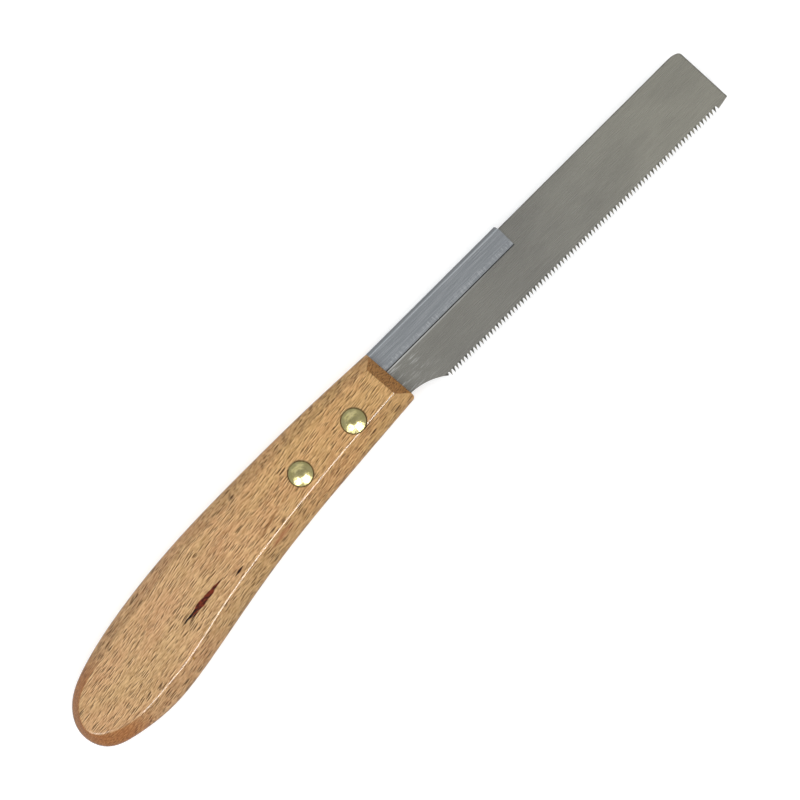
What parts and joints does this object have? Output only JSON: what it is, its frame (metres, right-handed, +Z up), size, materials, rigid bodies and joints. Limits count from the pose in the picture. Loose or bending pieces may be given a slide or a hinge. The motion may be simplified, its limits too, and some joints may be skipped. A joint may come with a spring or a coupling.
{
  "type": "mane thinning knife",
  "caption": "Stable grooming knife: a thin straight steel strip with fine set teeth and a folded spine, riveted into a flat-faced wooden handle, for thinning and shortening a horse's mane.",
  "frame": {"origin": "centre of the knife's outline seen from above, on the surface it lies on", "axes": "+X along the blade towards its tip, +Y from the teeth towards the back, +Z up through the thickness with the knife lying on its side"},
  "size_m": [0.21, 0.0272, 0.0151],
  "materials": {
    "beech": "clear lacquered steamed beech, flecked, semi-gloss",
    "blade_steel": "satin ground carbon steel, warm grey",
    "spine_steel": "drawn steel sheet, cool grey, lightly brushed lengthwise",
    "rivet_brass": "polished brass"
  },
  "bodies": {
    "root": {"handle": "beech", "blade": "blade_steel", "spine_channel": "spine_steel", "front_rivet_male": "rivet_brass", "front_rivet_female": "rivet_brass", "rear_rivet_male": "rivet_brass", "rear_rivet_female": "rivet_brass"}
  },
  "joints": []
}
